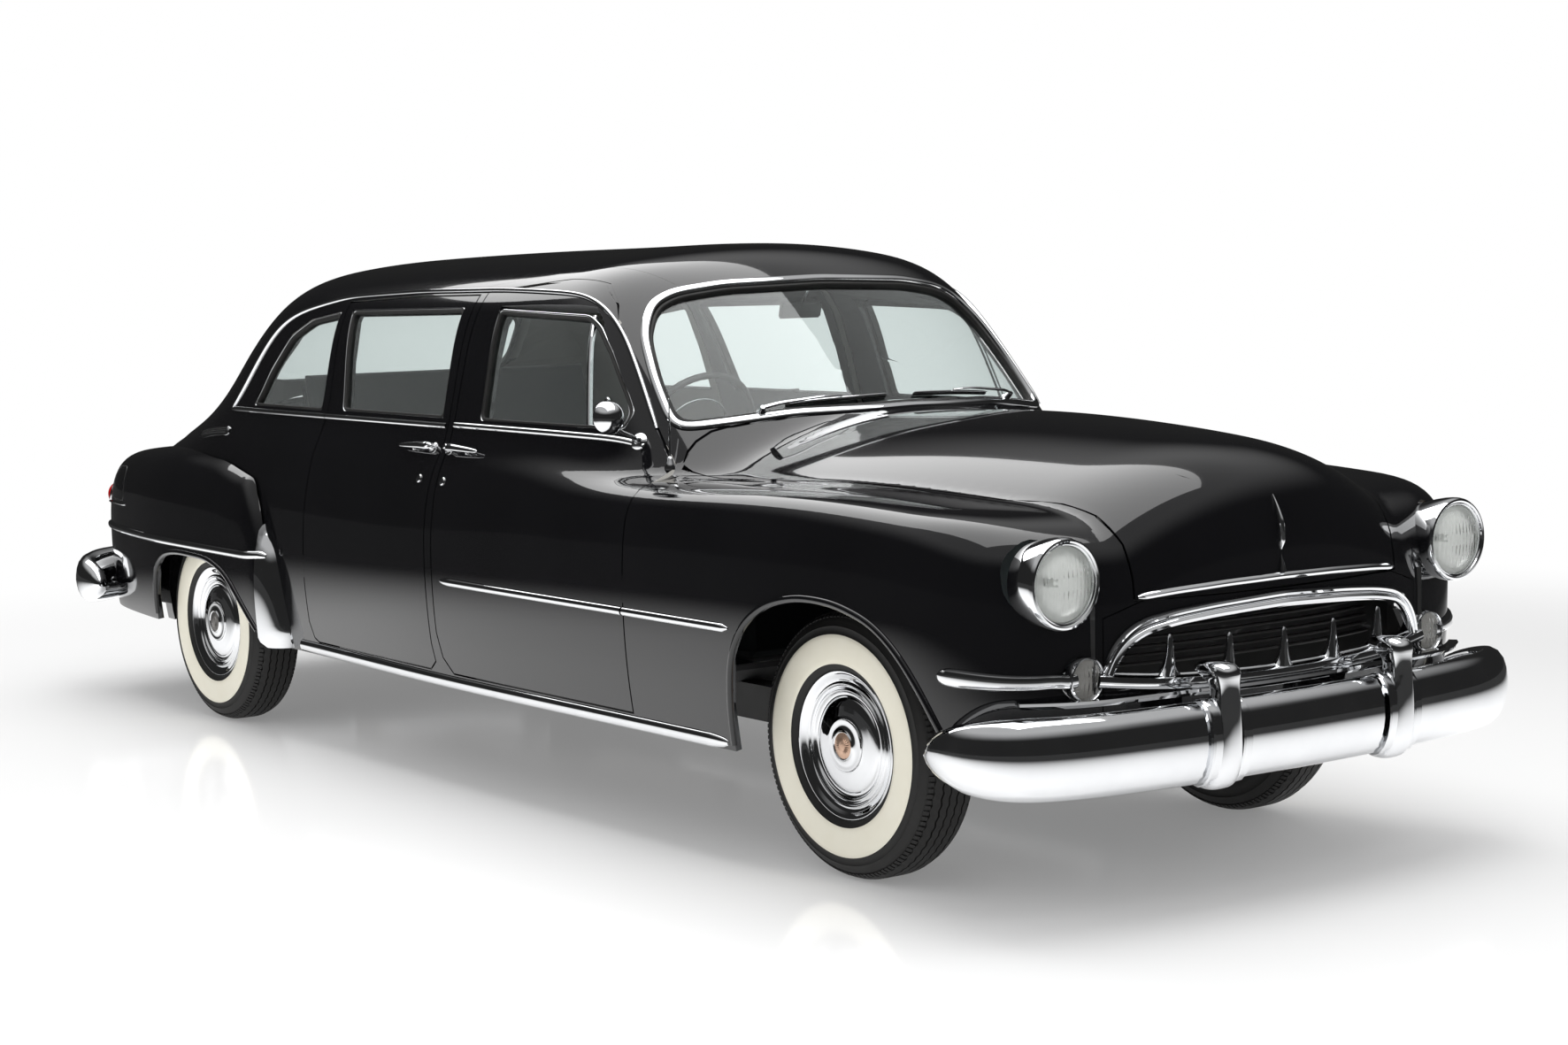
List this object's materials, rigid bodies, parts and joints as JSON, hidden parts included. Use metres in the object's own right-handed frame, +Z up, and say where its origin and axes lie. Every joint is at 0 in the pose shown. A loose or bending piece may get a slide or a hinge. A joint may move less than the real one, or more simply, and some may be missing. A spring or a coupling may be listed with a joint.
{
  "type": "long-wheelbase limousine",
  "caption": "Early-fifties long-wheelbase black limousine with a rounded body, chrome bumpers and toothed grille, opening doors, hood and trunk, and steered front wheels.",
  "frame": {"origin": "on the ground under the middle of the overall box", "axes": "+X towards the front of the car, +Y to its left side, +Z up"},
  "size_m": [6.05, 2.152, 1.7627],
  "materials": {
    "black_paint": "high gloss",
    "chassis": "satin",
    "chrome": "polished",
    "engine": "cast",
    "glass": "clear",
    "red_glass": "fluted",
    "steel": "plain",
    "trim": "satin",
    "tyre": "matt with a cream band",
    "upholstery": "woven"
  },
  "bodies": {
    "body": {"cowl": "black_paint", "dashboard": "black_paint", "engine": "engine", "exhaust": "steel", "floor_pan": "chassis", "frame": "chassis", "front_bumper": "chrome", "front_fender_left": "black_paint", "front_fender_right": "black_paint", "front_seat": "upholstery", "fuel_tank": "chassis", "grille": "chrome", "headlamp_left": "chrome", "headlamp_right": "chrome", "nose_panel": "black_paint", "quarter_glass_left": "glass", "quarter_glass_right": "glass", "radiator": "trim", "rear_axle": "steel", "rear_body": "black_paint", "rear_bumper": "chrome", "rear_fender_left": "black_paint", "rear_fender_right": "black_paint", "rear_seat": "upholstery", "rear_window": "glass", "roof": "black_paint", "side_frame_left": "black_paint", "side_frame_right": "black_paint", "steering_wheel": "trim", "tail_lamp_left": "red_glass", "tail_lamp_right": "red_glass", "windshield": "glass"},
    "front_door_left": {"front_door_left": "black_paint", "front_door_glass_left": "glass"},
    "rear_door_left": {"rear_door_left": "black_paint", "rear_door_glass_left": "glass"},
    "knuckle_left": {"knuckle_left": "steel"},
    "front_wheel_left": {"front_tyre_left": "tyre", "front_wheel_left": "chrome"},
    "rear_wheel_left": {"rear_tyre_left": "tyre", "rear_wheel_left": "chrome"},
    "front_door_right": {"front_door_right": "black_paint", "front_door_glass_right": "glass", "door_mirror": "chrome"},
    "rear_door_right": {"rear_door_right": "black_paint", "rear_door_glass_right": "glass"},
    "knuckle_right": {"knuckle_right": "steel"},
    "front_wheel_right": {"front_tyre_right": "tyre", "front_wheel_right": "chrome"},
    "rear_wheel_right": {"rear_tyre_right": "tyre", "rear_wheel_right": "chrome"},
    "hood": {"hood": "black_paint"},
    "trunk_lid": {"trunk_lid": "black_paint"}
  },
  "joints": [
    {"name": "front_door_left_hinge", "type": "hinge", "parent": "body", "child": "front_door_left", "pos_m": [1.197, 1.003, 0.75], "axis": [0, 0, -1], "range_deg": [0, 65]},
    {"name": "rear_door_left_hinge", "type": "hinge", "parent": "body", "child": "rear_door_left", "pos_m": [-0.87, 0.982, 0.75], "axis": [0, 0, 1], "range_deg": [0, 65]},
    {"name": "front_door_right_hinge", "type": "hinge", "parent": "body", "child": "front_door_right", "pos_m": [1.197, -1.003, 0.75], "axis": [0, 0, 1], "range_deg": [0, 65]},
    {"name": "rear_door_right_hinge", "type": "hinge", "parent": "body", "child": "rear_door_right", "pos_m": [-0.87, -0.982, 0.75], "axis": [0, 0, -1], "range_deg": [0, 65]},
    {"name": "steering_right", "type": "hinge", "parent": "body", "child": "knuckle_right", "pos_m": [2, -0.56, 0.378], "axis": [0, 0, 1], "range_deg": [-30, 30]},
    {"name": "front_wheel_right_spin", "type": "hinge", "parent": "knuckle_right", "child": "front_wheel_right", "pos_m": [2, -0.725, 0.378], "axis": [0, 1, 0], "continuous": true},
    {"name": "rear_wheel_right_spin", "type": "hinge", "parent": "body", "child": "rear_wheel_right", "pos_m": [-1.696, -0.85, 0.378], "axis": [0, 1, 0], "continuous": true},
    {"name": "steering_left", "type": "hinge", "parent": "body", "child": "knuckle_left", "pos_m": [2, 0.56, 0.378], "axis": [0, 0, 1], "range_deg": [-30, 30]},
    {"name": "front_wheel_left_spin", "type": "hinge", "parent": "knuckle_left", "child": "front_wheel_left", "pos_m": [2, 0.725, 0.378], "axis": [0, 1, 0], "continuous": true},
    {"name": "rear_wheel_left_spin", "type": "hinge", "parent": "body", "child": "rear_wheel_left", "pos_m": [-1.696, 0.85, 0.378], "axis": [0, 1, 0], "continuous": true},
    {"name": "hood_hinge", "type": "hinge", "parent": "body", "child": "hood", "pos_m": [1, 0, 1.24], "axis": [0, -1, 0], "range_deg": [0, 45]},
    {"name": "trunk_lid_hinge", "type": "hinge", "parent": "body", "child": "trunk_lid", "pos_m": [-2.275, 0, 1.195], "axis": [0, 1, 0], "range_deg": [0, 70]}
  ],
  "couplings": [
    {"joint": "steering_left", "follows": "steering_right", "ratio": 1}
  ]
}
